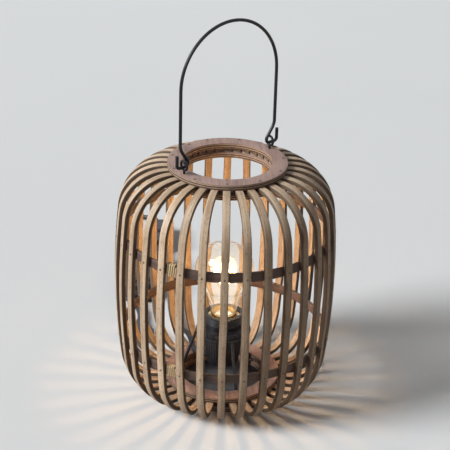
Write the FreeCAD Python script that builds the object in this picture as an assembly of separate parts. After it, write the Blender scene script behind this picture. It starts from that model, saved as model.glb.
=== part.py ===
import FreeCAD, Part
import math
import os

from FreeCAD import Placement, Rotation, Vector

os.makedirs("parts", exist_ok=True)

# Lantern table lamp: an open cage of bent wooden slats on plywood rings, with a
# wire carrying bail, and a lit bulb on a wire stand inside.
# Millimetres, +Z up. The origin is on the lamp's axis at the surface it stands on,
# and +X goes through one of the two screw eyes that hold the bail.

# Cage
cageHigh = 250.0
plyThick = 5.5
ringOuter = 58.5
ringBore = 43.5
slatCount = 32
slatsPerNode = 2
slatWide = 7.7
slatThick = 4.5
slatEndSetback = 2.0
slatRunOut = 2.0
shoulderRadius = 46.0
shoulderTurn = 84.0
sideTurn = 12.8
lowerRadius = 56.0
lowerTurn = 34.0
heelRadius = 29.0

# Hoops inside the slats, and the cane that binds their overlapped ends
upperHoopZ = 176.5
lowerHoopZ = 66.2
hoopHigh = 9.5
hoopThick = 2.5
caneThick = 1.7
canePitch = 2.25
caneTurns = 4
caneGap = 0.02
lashAzimuth = 202.5
lashCornerDrop = 0.35

# Nails
ringNailCount = 11
ringNailCircle = 55.0
ringNailRadius = 0.7
ringNailHeadRadius = 1.3
ringNailHeadHigh = 0.4
ringNailTip = 1.5
ringNailFirstSlat = 2.6
hoopNailRadius = 0.5
hoopNailHeadRadius = 0.95
hoopNailHeadHigh = 0.3
hoopNailTip = 0.5

# Screw eyes and bail
eyeX = 53.0
eyeWire = 2.5
eyeOuter = 12.0
eyeLift = 2.5
eyeShankTip = 1.5
bailWire = 3.2
bailHalfSpan = 57.9
bailArchRise = 83.0
bailArchZ = cageHigh + bailArchRise
bailSeatPlay = 0.3
bailHookInner = 48.6
bailHookOuter = 61.5
bailHookBend = 3.4
bailHookTipRise = 20.0
bailHookTipZ = cageHigh + bailHookTipRise
bailKneeRise = 12.1
bailKneeZ = cageHigh + bailKneeRise
bailKneeBend = 5.0
bailShoulderRise = 25.6
bailShoulderZ = cageHigh + bailShoulderRise
bailShoulderBend = 14.0

# Stand: a welded plate, legs and collar
plateLedge = 3.5
plateRadius = ringBore + plateLedge
plateThick = 1.5
plateFit = 0.2
plateScrewCount = 3
plateScrewInset = 1.7
plateScrewRadius = 0.7
plateScrewHead = 1.3
plateScrewHeadHigh = 0.6
plateScrewLong = 4.8
legCount = 3
legAzimuth = 10.6
legWire = 3.0
legBorePlay = 0.1
legTopRadius = 26.3
legBend = 6.0
collarZ = 62.0
collarThick = 2.0
collarOuter = 28.0
collarPlay = 0.2

# Lampholder
holderFootZ = 27.0
holderFootRadius = 16.5
holderTopRadius = 19.0
holderFlangeRadius = 21.5
holderFlangeHigh = 3.0
holderFlangeSlope = 1.5
holderWall = 1.8
holderRibCount = 36
holderRibRadius = 0.55
holderRibFoot = 36.0
holderRibTop = 56.0
sleeveTopZ = 83.0
sleeveOuter = 19.4
sleeveWall = 3.0
threadFootZ = 74.0
threadTopZ = 82.0
threadPitch = 2.0
threadDeep = 0.7
insertFootZ = 47.0
insertFloor = 6.0
insertTopZ = 78.5
insertFlangeRadius = 17.0
insertFlangeHigh = 2.0
contactSleeveThick = 0.45
contactSleeveTopZ = 77.0
contactRadius = 4.0
contactPlay = 0.05
shadeRingHigh = 5.5
shadeRingOuter = 26.5
shadeRingPlay = 0.05
shadeRingGrips = 24
shadeRingGripRadius = 1.2

# Bulb
bulbTipZ = 57.0
bulbLong = 104.0
bulbRadius = 30.0
capRadius = 13.1
capPlay = 0.06
capWall = 0.5
capFootZ = 62.0
capTopZ = 84.0
capThreadPitch = 3.6
capThreadDeep = 0.9
capThreads = 5
insulatorTipRadius = 6.0
tipRadius = 3.6
tipHigh = 1.6
neckRadius = 13.6
tailRadius = 11.9
tailLong = 5.0
glassWall = 0.8
neckBlendRadius = 40.0
stemRadius = 4.0
stemTopZ = 108.0
flareHigh = 2.0
filamentZ = 126.0
filamentRadius = 14.0
filamentWire = 1.4
leadRadius = 0.5
leadSpread = 8.0
leadBend = 6.0
stemPinch = 2.4
filamentRise = 3.0

# Elbow out of the lampholder's foot
reliefBoss = 6.5
reliefBossDeep = 4.0
reliefElbow = 4.2
reliefTip = 3.3
reliefBend = 7.0
reliefTaperLong = 20.0

# Inline switch
switchLong = 60.0
switchWide = 26.0
switchHigh = 18.0
switchCorner = 9.0
switchEdge = 2.5
switchWall = 2.5
switchWallEnd = 6.0
switchNose = 8.0
switchNoseRoot = 4.0
switchNoseRadius = 5.2
switchNoseTip = 3.6
switchPostX = 19.0
switchPostRadius = 3.2
switchScrewRadius = 1.1
switchScrewHead = 2.0
switchScrewHeadHigh = 1.2
switchScrewSunk = 0.6
switchScrewTop = 14.0
slotHalfLong = 8.0
slotHalfWide = 4.6
rockerPlay = 0.3
rockerPin = 1.2
rockerPinPlay = 0.05
rockerPinLong = 1.4
rockerZ = 13.5
rockerFootZ = 11.6
rockerTopZ = 20.4
rockerTilt = 9.0
earHalf = 3.0
earThick = 1.8
earFootZ = 11.0

# Plug
plugLong = 27.0
plugStraight = 10.0
plugWide = 35.0
plugHigh = 13.7
plugNeck = 15.0
plugEdge = 2.2
plugTailRoot = 5.4
plugTail = 12.0
plugTailSunk = 1.0
pinRadius = 2.0
pinLong = 19.0
pinDeep = 8.0
pinSpacing = 18.6

# Hank of spare cord
hankFold = 15.6
hankWaist = 30.0
hankHalf = 27.0
hankStep = 5.68
hankPitch = 5.7
hankLoops = 5
hankTurnCount = 3
hankClimbSteepness = 1.6
tieWide = 8.0
tieThick = 0.8
tiePlay = 0.15

# Cord and the places of what is on it. The points of its free stretches are chosen by hand.
cordWide = 5.2
switchPlace = Vector(138.0, 298.1, 0)
switchAzimuth = 56.6
plugPlace = Vector(-26.1, 114.6, 0)
plugAzimuth = -129.4
hankPlace = Vector(60.1, 226.2, 0)
hankAzimuth = -39.4
reliefRoute = [
    Vector(-9.0, 7.4, 34.0),
    Vector(-16.6, 13.6, 34.0),
    Vector(-5.5, 40.5, 21.5),
]
lampCordRoute = [
    Vector(1.0, 53.5, 20.8),
    Vector(8.5, 66.5, 19.6),
    Vector(16.5, 82.5, 15.2),
    Vector(22.0, 95.5, 8.6),
    Vector(29.5, 109.0, 3.6),
    Vector(39.0, 124.5, 2.7),
    Vector(54.0, 147.0, 2.7),
    Vector(75.5, 177.5, 2.7),
    Vector(93.0, 203.0, 2.7),
    Vector(102.5, 221.0, 2.7),
    Vector(107.5, 240.5, 4.6),
    Vector(110.5, 256.5, 8.2),
]
turnCordRoute = [
    Vector(165.5, 340.0, 7.6),
    Vector(166.5, 352.5, 5.0),
    Vector(161.0, 364.0, 3.2),
    Vector(150.5, 370.5, 2.7),
    Vector(138.5, 371.0, 2.7),
    Vector(127.0, 365.5, 2.7),
    Vector(114.5, 349.5, 2.7),
    Vector(98.0, 320.5, 2.7),
    Vector(82.5, 296.0, 2.7),
    Vector(70.0, 277.5, 3.2),
]
tailCordRoute = [
    Vector(10.0, 204.5, 19.6),
    Vector(7.5, 187.5, 15.0),
    Vector(12.0, 173.5, 10.6),
    Vector(8.5, 157.0, 7.4),
]


# Shapes

def moved(shape, x, y, z, turn=0.0):
    """The shape turned about Z, then shifted."""
    copy = shape.copy()
    copy.Placement = Placement(Vector(x, y, z), Rotation(Vector(0, 0, 1), turn)).multiply(copy.Placement)
    return copy


def polar(radius, azimuth, z):
    angle = math.radians(azimuth)
    return Vector(radius * math.cos(angle), radius * math.sin(angle), z)


def revolved(outline):
    """The closed outline of (radius, z) points turned about the lamp's axis."""
    points = [Vector(r, 0, z) for r, z in outline]
    face = Part.Face(Part.makePolygon(points + points[:1]))
    return face.revolve(Vector(0, 0, 0), Vector(0, 0, 1), 360)


def revolvedEdges(edges):
    face = Part.Face(Part.Wire(Part.__sortEdges__(edges)))
    return face.revolve(Vector(0, 0, 0), Vector(0, 0, 1), 360)


def ringSolid(outer, bore, low, high):
    return Part.makeCylinder(outer, high - low, Vector(0, 0, low)).cut(
        Part.makeCylinder(bore, high - low, Vector(0, 0, low)))


def rod(radius, start, end):
    return Part.makeCylinder(radius, (end - start).Length, start, end - start)


def cone(startRadius, endRadius, start, end):
    return Part.makeCone(startRadius, endRadius, (end - start).Length, start, end - start)


def export(name, solids):
    shape = solids[0] if len(solids) == 1 else Part.makeCompound(solids)
    shape.exportStep("parts/" + name + ".step")


# Paths of wires and cords

def unit(vector):
    return vector * (1.0 / vector.Length)


def arcMiddle(start, heading, end):
    """The middle of the arc that leaves start along heading and ends at end, or None for a line."""
    chord = end - start
    along = unit(chord)
    aside = heading - along * heading.dot(along)
    if aside.Length < 1e-6:
        return None
    turn = math.atan2(aside.Length, heading.dot(along))
    return (start + end) * 0.5 + unit(aside) * (0.5 * chord.Length * math.tan(turn / 2))


def edgeThrough(start, middle, end):
    if middle is None:
        return Part.LineSegment(start, end).toShape()
    return Part.Arc(start, middle, end).toShape()


def tangentArc(start, heading, end):
    return edgeThrough(start, arcMiddle(start, heading, end), end)


def biarc(start, startHeading, end, endHeading):
    """Two arcs that meet smoothly, with equal handles at both ends."""
    span = end - start
    both = startHeading + endHeading
    spread = 2.0 * (1.0 - startHeading.dot(endHeading))
    lean = span.dot(both)
    if spread > 1e-9:
        root = math.sqrt(lean * lean + spread * span.dot(span))
        handle = (root - lean) / spread
    else:
        handle = span.dot(span) / (4.0 * span.dot(endHeading))
    joint = (start + startHeading * handle + end - endHeading * handle) * 0.5
    secondMiddle = arcMiddle(end, endHeading * -1.0, joint)
    return [tangentArc(start, startHeading, joint), edgeThrough(joint, secondMiddle, end)]


def filletedPath(points, radii):
    """Edges along the points, with a tangent arc of the given radius at each inner one."""
    edges = []
    last = points[0]
    for before, corner, after, radius in zip(points, points[1:], points[2:], radii):
        inward = unit(corner - before)
        outward = unit(after - corner)
        halfTurn = 0.5 * inward.getAngle(outward)
        handle = radius * math.tan(halfTurn)
        arcStart = corner - inward * handle
        arcEnd = corner + outward * handle
        if (arcStart - last).Length > 1e-4:
            edges.append(Part.LineSegment(last, arcStart).toShape())
        edges.append(tangentArc(arcStart, inward, arcEnd))
        last = arcEnd
    if (points[-1] - last).Length > 1e-4:
        edges.append(Part.LineSegment(last, points[-1]).toShape())
    return edges


def tubeAlong(edges, radius, heading):
    """A round tube along joined edges; heading is its direction at the start."""
    path = Part.Wire(edges)
    start = edges[0].Vertexes[0].Point
    ring = Part.Wire(Part.makeCircle(radius, start, heading))
    tube = path.makePipeShell([ring], True, False)
    return tube


def bentWire(points, radii, radius):
    return tubeAlong(filletedPath(points, radii), radius, points[1] - points[0])


def routeRadii(points):
    """Each arc is 0.45 of its shorter run over the tangent of half its turn."""
    radii = []
    for before, corner, after in zip(points, points[1:], points[2:]):
        shorter = min((corner - before).Length, (after - corner).Length)
        halfTurn = 0.5 * (corner - before).getAngle(after - corner)
        radii.append(0.45 * shorter / math.tan(halfTurn))
    return radii


def cordTube(name, points):
    radii = routeRadii(points)
    edges = filletedPath(points, radii)
    tube = tubeAlong(edges, cordWide / 2, points[1] - points[0])
    length = sum(edge.Length for edge in edges)
    share = tube.Volume / (math.pi * cordWide ** 2 / 4 * length)
    runs = [round((b - a).Length, 1) for a, b in zip(points, points[1:])]
    print(name, "length", round(length, 1), "volume share", round(share, 4))
    print("  radii", [round(r, 1) for r in radii], "runs", runs)
    return tube, length


def leastGap(edges, wide, apart):
    """The least gap of a wound tube to itself, measured on points along its path."""
    points = []
    for edge in edges:
        count = max(2, int(edge.Length / 1.0))
        points += edge.discretize(Number=count)[:-1]
    travelled = [0.0]
    for a, b in zip(points, points[1:]):
        travelled.append(travelled[-1] + (b - a).Length)
    least = 1e9
    for i, a in enumerate(points):
        for j in range(i + 1, len(points)):
            if travelled[j] - travelled[i] > apart:
                least = min(least, (points[j] - a).Length)
    return least - wide


# Slats: a strip that leaves the top ring outwards, turns down over the shoulder,
# bows out a little, and turns in below to the bottom ring.

topSlatTop = cageHigh - plyThick
topSlatFoot = topSlatTop - slatThick
bottomSlatFoot = plyThick
bottomSlatTop = plyThick + slatThick
slatEnd = ringBore + slatEndSetback
slatPitch = 360.0 / slatCount


def slatBends():
    """(outer radius, turn) of each bend from top to bottom. The long side's radius closes the height."""
    heelTurn = 180.0 - shoulderTurn - sideTurn - lowerTurn
    reached = [0.0]
    for turn in (shoulderTurn, sideTurn, lowerTurn, heelTurn):
        reached.append(reached[-1] + turn)
    fall = [math.cos(math.radians(a)) - math.cos(math.radians(b)) for a, b in zip(reached, reached[1:])]
    rest = topSlatTop - bottomSlatFoot
    rest -= shoulderRadius * fall[0] + lowerRadius * fall[2] + heelRadius * fall[3]
    return [(shoulderRadius, shoulderTurn), (rest / fall[1], sideTurn),
            (lowerRadius, lowerTurn), (heelRadius, heelTurn)]


def slatArcs():
    """(centre, outer radius, first and last heading below level) of each bend, in the XZ plane."""
    arcs = []
    x = ringOuter + slatRunOut
    z = topSlatTop
    heading = 0.0
    for radius, turn in slatBends():
        angle = math.radians(heading)
        centre = Vector(x - radius * math.sin(angle), 0, z - radius * math.cos(angle))
        heading += turn
        angle = math.radians(heading)
        x = centre.x + radius * math.sin(angle)
        z = centre.z + radius * math.cos(angle)
        arcs.append((centre, radius, heading - turn, heading))
    return arcs


def slatSurfaceRadius(z, depth):
    """How far from the axis the slats' long side is at height z, at a depth below its outer face."""
    centre, radius = slatArcs()[1][:2]
    return centre.x + math.sqrt((radius - depth) ** 2 - (z - centre.z) ** 2)


def slatSolid():
    def point(x, z):
        return Vector(x, 0, z)

    def onArc(centre, radius, heading):
        angle = math.radians(heading)
        return Vector(centre.x + radius * math.sin(angle), 0, centre.z + radius * math.cos(angle))

    outer = []
    inner = []
    for centre, radius, first, last in slatArcs():
        middle = (first + last) / 2
        for depth, side in ((0.0, outer), (slatThick, inner)):
            ends = [onArc(centre, radius - depth, heading) for heading in (first, middle, last)]
            side.append(Part.Arc(*ends).toShape())
    outerStart = point(ringOuter + slatRunOut, topSlatTop)
    innerStart = point(ringOuter + slatRunOut, topSlatFoot)
    centre, radius = slatArcs()[-1][:2]
    outerLast = point(centre.x, centre.z - radius)
    innerLast = point(centre.x, centre.z - radius + slatThick)
    lines = [
        (point(slatEnd, topSlatTop), outerStart),
        (point(slatEnd, topSlatFoot), innerStart),
        (point(slatEnd, topSlatFoot), point(slatEnd, topSlatTop)),
        (outerLast, point(slatEnd, bottomSlatFoot)),
        (innerLast, point(slatEnd, bottomSlatTop)),
        (point(slatEnd, bottomSlatFoot), point(slatEnd, bottomSlatTop)),
    ]
    edges = outer + inner + [Part.LineSegment(a, b).toShape() for a, b in lines]
    face = Part.Face(Part.Wire(Part.__sortEdges__(edges)))
    return moved(face.extrude(Vector(0, slatWide, 0)), 0, -slatWide / 2, 0)


def slatAzimuth(index):
    return (index + 0.5) * slatPitch


# Nails

def ringNail(azimuth, headZ, down, headProud):
    """A nail through a ring stack; down is -1 where it points down. Its head stands proud or is let in."""
    away = Vector(0, 0, down)
    foot = polar(ringNailCircle, azimuth, headZ)
    stackDeep = 2 * plyThick + slatThick
    tip = foot + away * (stackDeep - ringNailTip)
    head = rod(ringNailHeadRadius, foot - away * headProud, foot + away * (ringNailHeadHigh - headProud))
    return head.fuse(rod(ringNailRadius, foot, tip)).removeSplitter()


def ringNails():
    nails = {}
    for k in range(ringNailCount):
        slat = round(ringNailFirstSlat + k * slatCount / ringNailCount) % slatCount
        top = ringNail(slatAzimuth(slat), cageHigh, -1, ringNailHeadHigh)
        bottom = ringNail(slatAzimuth(slat), 0.0, 1, 0.0)
        nails[slat] = [top, bottom]
    return nails


def hoopNail(azimuth, z):
    face = slatSurfaceRadius(z, 0.0)
    tip = slatSurfaceRadius(z, slatThick) - hoopThick + hoopNailTip
    shank = rod(hoopNailRadius, polar(tip, azimuth, z), polar(face, azimuth, z))
    head = rod(hoopNailHeadRadius, polar(face - hoopNailHeadHigh, azimuth, z),
               polar(face + hoopNailHeadHigh, azimuth, z))
    return shank.fuse(head).removeSplitter()


# Hoops and their lashings

def hoopSolid(z):
    low = z - hoopHigh / 2
    high = z + hoopHigh / 2
    lowRadius = slatSurfaceRadius(low, slatThick)
    highRadius = slatSurfaceRadius(high, slatThick)
    return revolved([(lowRadius, low), (highRadius, high), (highRadius - hoopThick, high),
                     (lowRadius - hoopThick, low)])


def lashing(z, azimuth):
    """Cane wound round the hoop in a gap between two slats, as one unbroken tube."""
    reach = hoopHigh / 2 - lashCornerDrop
    lowFace = slatSurfaceRadius(z - reach, slatThick)
    highFace = slatSurfaceRadius(z + reach, slatThick)
    outside = caneGap + caneThick / 2
    inside = hoopThick + caneGap + caneThick / 2
    bend = (outside + inside) / 2
    turnLong = 4 * reach + 2 * math.pi * bend
    slope = canePitch / turnLong
    lean = (highFace - lowFace) / (2 * reach)
    stations = [(lowFace + outside, -reach, 1.0, 0.0), (highFace + outside, reach, 1.0, 2 * reach),
                (highFace - inside, reach, -1.0, 2 * reach + math.pi * bend),
                (lowFace - inside, -reach, -1.0, 4 * reach + math.pi * bend)]
    wide = canePitch * (caneTurns + 0.5)
    nodes = []
    for turn in range(caneTurns + 1):
        for radius, rise, upward, along in stations:
            aside = canePitch * (turn + along / turnLong) - wide / 2
            angle = azimuth + math.degrees(aside / lowFace)
            across = polar(1.0, angle + 90, 0)
            heading = unit((Vector(0, 0, 1) + polar(lean, angle, 0)) * upward + across * slope)
            nodes.append((polar(radius, angle, z + rise), heading))
    first, firstHeading = nodes[0]
    last, lastHeading = nodes[-1]
    edges = [Part.LineSegment(first - firstHeading * caneThick, first).toShape()]
    for (a, headingA), (b, headingB) in zip(nodes, nodes[1:]):
        edges += biarc(a, headingA, b, headingB)
    edges.append(Part.LineSegment(last, last + lastHeading * caneThick).toShape())
    gap = leastGap(edges, caneThick, 3 * caneThick)
    print("lashing least gap", round(gap, 2))
    return tubeAlong(edges, caneThick / 2, firstHeading)


# Screw eyes and bail

eyeCentreZ = cageHigh + eyeLift + eyeOuter / 2
eyeRingRadius = (eyeOuter - eyeWire) / 2
pivotZ = eyeCentreZ - (eyeOuter / 2 - eyeWire) + bailWire / 2 + bailSeatPlay
stackFootZ = cageHigh - 2 * plyThick - slatThick


def screwEye(side):
    loop = Part.makeTorus(eyeRingRadius, eyeWire / 2, Vector(0, 0, 0), Vector(1, 0, 0))
    loop = moved(loop, side * eyeX, 0, eyeCentreZ)
    neckTop = eyeCentreZ - eyeRingRadius
    foot = Vector(side * eyeX, 0, stackFootZ + eyeShankTip)
    neck = rod(eyeWire / 2, foot, Vector(side * eyeX, 0, neckTop))
    return loop.fuse(neck).removeSplitter()


def bailHalf():
    """The points and bend radii of the +X half, from the hook's free tip to the arch."""
    points = [
        Vector(bailHookOuter, 0, bailHookTipZ),
        Vector(bailHookOuter, 0, pivotZ),
        Vector(bailHookInner, 0, pivotZ),
        Vector(bailHookInner, 0, bailKneeZ),
        Vector(bailHalfSpan, 0, bailShoulderZ),
        Vector(bailHalfSpan, 0, bailArchZ),
    ]
    return points, [bailHookBend, bailHookBend, bailKneeBend, bailShoulderBend]


def bailSolid():
    points, bends = bailHalf()
    right = filletedPath(points, bends)
    mirrored = [Vector(-p.x, 0, p.z) for p in reversed(points)]
    left = filletedPath(mirrored, bends[::-1])
    top = Vector(0, 0, bailArchZ + bailHalfSpan)
    arch = Part.Arc(points[-1], top, mirrored[0]).toShape()
    wire = tubeAlong(right + [arch] + left, bailWire / 2, Vector(0, 0, -1))
    return wire


# Stand

def standPlate():
    plate = Part.makeCylinder(plateRadius, plateThick)
    return plate.cut(Part.makeCompound(plateScrews()))


def plateScrews():
    screws = []
    for k in range(plateScrewCount):
        foot = polar(ringBore + plateScrewInset, legAzimuth + (k + 0.5) * 360.0 / plateScrewCount, 0)
        head = rod(plateScrewHead, foot, foot + Vector(0, 0, plateScrewHeadHigh))
        shank = rod(plateScrewRadius, foot, foot + Vector(0, 0, plateScrewLong))
        screws.append(head.fuse(shank).removeSplitter())
    return screws


def standLeg(azimuth):
    stackTop = 2 * plyThick + slatThick
    footRadius = ringBore - legBorePlay - legWire / 2
    slope = (footRadius - legTopRadius) / (collarZ - stackTop)
    above = collarZ + 2 * legWire
    points = [Vector(footRadius, 0, plateThick), Vector(footRadius, 0, stackTop),
              Vector(legTopRadius - slope * (above - collarZ), 0, above)]
    wire = bentWire(points, [legBend], legWire / 2)
    below = Part.makeCylinder(2 * plateRadius, collarZ)
    return moved(wire.common(below), 0, 0, 0, azimuth)


def standCollar():
    return ringSolid(collarOuter, sleeveOuter + collarPlay, collarZ, collarZ + collarThick)


# Lampholder

insertLedgeZ = collarZ - insertFlangeHigh
insertBodyRadius = 16.1
insertPlay = 0.1
contactSleeveBore = capRadius + capPlay
insertBore = contactSleeveBore + contactSleeveThick
insertFloorZ = insertFootZ + insertFloor
holderCapFootZ = collarZ - holderFlangeHigh
threadSides = 0.2


def grooved(radius, deep, pitch, low, high):
    """Outline points of a thread's crests and roots from low to high."""
    points = []
    count = int(round((high - low) / pitch))
    for k in range(count):
        z = low + k * pitch
        points += [(radius, z + threadSides * pitch), (radius - deep, z + 0.5 * pitch),
                   (radius, z + (1 - threadSides) * pitch)]
    return points


def holderBody(relief):
    outline = [
        (0, holderFootZ), (holderFootRadius, holderFootZ), (holderTopRadius, holderCapFootZ - holderFlangeSlope),
        (holderFlangeRadius, holderCapFootZ), (holderFlangeRadius, collarZ),
        (insertFlangeRadius + insertPlay, collarZ), (insertFlangeRadius + insertPlay, insertLedgeZ),
        (insertBodyRadius + insertPlay, insertLedgeZ), (insertBodyRadius + insertPlay, insertFootZ),
        (holderFootRadius - holderWall, holderFootZ + holderWall), (0, holderFootZ + holderWall),
    ]
    body = revolved(outline)
    ribs = []
    for k in range(holderRibCount):
        azimuth = k * 360.0 / holderRibCount
        ribs.append(rod(holderRibRadius, polar(holderSideRadius(holderRibFoot), azimuth, holderRibFoot),
                        polar(holderSideRadius(holderRibTop), azimuth, holderRibTop)))
    body = body.fuse(ribs).removeSplitter()
    return body.cut(relief)


def holderSideRadius(z):
    share = (z - holderFootZ) / (holderCapFootZ - holderFlangeSlope - holderFootZ)
    return holderFootRadius + share * (holderTopRadius - holderFootRadius)


def holderSleeve():
    bore = sleeveOuter - sleeveWall
    outline = [(bore, collarZ), (sleeveOuter, collarZ)]
    outline += grooved(sleeveOuter, threadDeep, threadPitch, threadFootZ, threadTopZ)
    outline += [(sleeveOuter, sleeveTopZ), (bore, sleeveTopZ)]
    return revolved(outline)


def holderInsert():
    upperRadius = sleeveOuter - sleeveWall - insertPlay
    return revolved([
        (0, insertFootZ), (insertBodyRadius, insertFootZ), (insertBodyRadius, insertLedgeZ),
        (insertFlangeRadius, insertLedgeZ), (insertFlangeRadius, collarZ), (upperRadius, collarZ),
        (upperRadius, insertTopZ), (insertBore, insertTopZ), (insertBore, insertFloorZ), (0, insertFloorZ),
    ])


def contactSleeve():
    return ringSolid(insertBore, contactSleeveBore, insertFloorZ, contactSleeveTopZ)


def centreContact():
    return Part.makeCylinder(contactRadius, bulbTipZ - contactPlay - insertFloorZ, Vector(0, 0, insertFloorZ))


def shadeRing():
    low = collarZ + collarThick + shadeRingPlay
    ring = ringSolid(shadeRingOuter, sleeveOuter + shadeRingPlay, low, low + shadeRingHigh)
    grips = []
    for k in range(shadeRingGrips):
        foot = polar(shadeRingOuter + shadeRingGripRadius / 2, k * 360.0 / shadeRingGrips, low)
        grips.append(rod(shadeRingGripRadius, foot, foot + Vector(0, 0, shadeRingHigh)))
    return ring.cut(grips)


def cordRelief():
    """An elbow out of the lampholder's foot that tapers along the cord."""
    boss, knee, tip = reliefRoute
    taperStart = tip - unit(tip - knee) * reliefTaperLong
    elbow = bentWire([boss, knee, taperStart], [reliefBend], reliefElbow)
    taper = cone(reliefElbow, reliefTip, taperStart, tip)
    collar = rod(reliefBoss, boss, boss + unit(knee - boss) * reliefBossDeep)
    return elbow.fuse([taper, collar]).removeSplitter()


# Bulb

bulbCentreZ = bulbTipZ + bulbLong - bulbRadius


def bulbGlass():
    blendX = neckRadius + neckBlendRadius
    blendZ = bulbCentreZ - math.sqrt((neckBlendRadius + bulbRadius) ** 2 - blendX ** 2)

    def side(wall):
        toBlend = Vector(blendX, 0, blendZ - bulbCentreZ)
        join = Vector(0, 0, bulbCentreZ) + unit(toBlend) * (bulbRadius - wall)
        radius = bulbRadius - wall
        top = Vector(0, 0, bulbCentreZ + radius)
        halfway = Vector(radius, 0, bulbCentreZ)
        neck = Vector(neckRadius - wall, 0, blendZ)
        blend = Vector(blendX, 0, blendZ)
        between = blend + unit(unit(join - blend) + unit(neck - blend)) * (neckBlendRadius + wall)
        return top, halfway, join, between, neck

    edges = []
    ends = []
    for wall in (0.0, glassWall):
        top, halfway, join, between, neck = side(wall)
        edges.append(Part.Arc(top, halfway, join).toShape())
        edges.append(Part.Arc(join, between, neck).toShape())
        ends.append((top, neck))
    (outerTop, outerNeck), (innerTop, innerNeck) = ends
    tail = [outerNeck, Vector(neckRadius, 0, capTopZ), Vector(tailRadius, 0, capTopZ),
            Vector(tailRadius, 0, capTopZ - tailLong), Vector(tailRadius - glassWall, 0, capTopZ - tailLong),
            Vector(tailRadius - glassWall, 0, capTopZ + glassWall),
            Vector(neckRadius - glassWall, 0, capTopZ + glassWall), innerNeck]
    edges += [Part.LineSegment(a, b).toShape() for a, b in zip(tail, tail[1:])]
    edges.append(Part.LineSegment(innerTop, outerTop).toShape())
    return revolvedEdges(edges)


def bulbCap():
    bore = capRadius - capThreadDeep - capWall
    threadTop = capFootZ + capThreads * capThreadPitch
    outline = [(bore, capFootZ), (capRadius - capThreadDeep, capFootZ)]
    outline += grooved(capRadius, capThreadDeep, capThreadPitch, capFootZ, threadTop)
    outline += [(capRadius, capTopZ), (tailRadius, capTopZ), (tailRadius, capTopZ - tailLong),
                (bore, capTopZ - tailLong)]
    return revolved(outline)


def bulbInsulator():
    rim = capRadius - capThreadDeep - capWall
    return revolved([(0, bulbTipZ + tipHigh), (insulatorTipRadius, bulbTipZ + tipHigh),
                     (capRadius - capThreadDeep, capFootZ), (rim, capFootZ),
                     (rim, capFootZ + capWall), (0, capFootZ + capWall)])


def bulbTip():
    return Part.makeCylinder(tipRadius, tipHigh, Vector(0, 0, bulbTipZ))


def bulbStem():
    flareZ = capTopZ - tailLong
    return revolved([(0, flareZ), (tailRadius - glassWall, flareZ), (tailRadius - glassWall, flareZ + flareHigh),
                     (stemRadius, flareZ + 3 * flareHigh), (stemRadius, stemTopZ - stemRadius),
                     (stemPinch, stemTopZ), (0, stemTopZ)])


def bulbFilament():
    left = Vector(-filamentRadius, 0, filamentZ)
    right = Vector(filamentRadius, 0, filamentZ)
    crown = Vector(0, 0, filamentZ + filamentRise)
    return tubeAlong([Part.Arc(left, crown, right).toShape()], filamentWire / 2,
                     Vector(1, 0, filamentRise * 2 / filamentRadius))


def bulbLeads():
    leads = []
    for side in (-1, 1):
        foot = Vector(side * stemPinch / 2, 0, stemTopZ)
        knee = Vector(side * leadSpread, 0, (stemTopZ + filamentZ) / 2)
        tip = Vector(side * filamentRadius, 0, filamentZ)
        leads.append(bentWire([foot, knee, tip], [leadBend], leadRadius))
    return leads


# Inline switch, made along X with its middle at the origin, on the surface

def switchPlaced(shape):
    return moved(shape, switchPlace.x, switchPlace.y, 0, switchAzimuth)


def switchShells():
    half = switchHigh / 2
    body = Part.makeBox(switchLong, switchWide, switchHigh, Vector(-switchLong / 2, -switchWide / 2, 0))
    upright = [e for e in body.Edges if abs(e.Vertexes[0].Z - e.Vertexes[-1].Z) > half]
    body = body.makeFillet(switchCorner, upright)
    rims = [e for e in body.Edges if abs(e.BoundBox.ZMin - e.BoundBox.ZMax) < 1e-6]
    body = body.makeFillet(switchEdge, rims)
    for side in (-1, 1):
        root = Vector(side * (switchLong / 2 - switchNoseRoot), 0, half)
        tip = Vector(side * (switchLong / 2 + switchNose), 0, half)
        body = body.fuse(cone(switchNoseRadius, switchNoseTip, root, tip))
    inside = Part.makeBox(switchLong - 2 * switchWallEnd, switchWide - 2 * switchWall,
                          switchHigh - 2 * switchWall,
                          Vector(-switchLong / 2 + switchWallEnd, -switchWide / 2 + switchWall, switchWall))
    body = body.cut(inside)
    for side in (-1, 1):
        foot = Vector(side * switchPostX, 0, switchWall / 2)
        body = body.fuse(rod(switchPostRadius, foot, foot + Vector(0, 0, switchHigh - switchWall)))
        ear = Part.makeBox(2 * earHalf, earThick, switchHigh - switchWall / 2 - earFootZ,
                           Vector(-earHalf, side * (slotHalfWide + earThick / 2) - earThick / 2, earFootZ))
        body = body.fuse(ear)
    body = body.cut(switchScrews())
    pivotBore = Part.makeCylinder(rockerPin + rockerPinPlay, switchWide - 2 * switchWall,
                                  Vector(0, -switchWide / 2 + switchWall, rockerZ), Vector(0, 1, 0))
    slot = Part.makeBox(2 * slotHalfLong, 2 * slotHalfWide, switchHigh, Vector(-slotHalfLong, -slotHalfWide, half))
    body = body.cut([slot, pivotBore])
    reach = switchLong + 2 * switchNose
    below = Part.makeBox(reach, switchWide, half, Vector(-reach / 2, -switchWide / 2, 0))
    return body.common(below), body.cut(below)


def switchScrews():
    screws = []
    for side in (-1, 1):
        foot = Vector(side * switchPostX, 0, 0)
        head = rod(switchScrewHead, foot + Vector(0, 0, switchScrewSunk),
                   foot + Vector(0, 0, switchScrewSunk + switchScrewHeadHigh))
        shank = rod(switchScrewRadius, foot + Vector(0, 0, switchScrewSunk),
                    foot + Vector(0, 0, switchScrewTop))
        screws.append(head.fuse(shank).removeSplitter())
    return screws


def switchPockets():
    """The open ends of the screw holes in the underside."""
    return [rod(switchScrewHead, Vector(side * switchPostX, 0, 0), Vector(side * switchPostX, 0, switchScrewSunk))
            for side in (-1, 1)]


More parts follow.
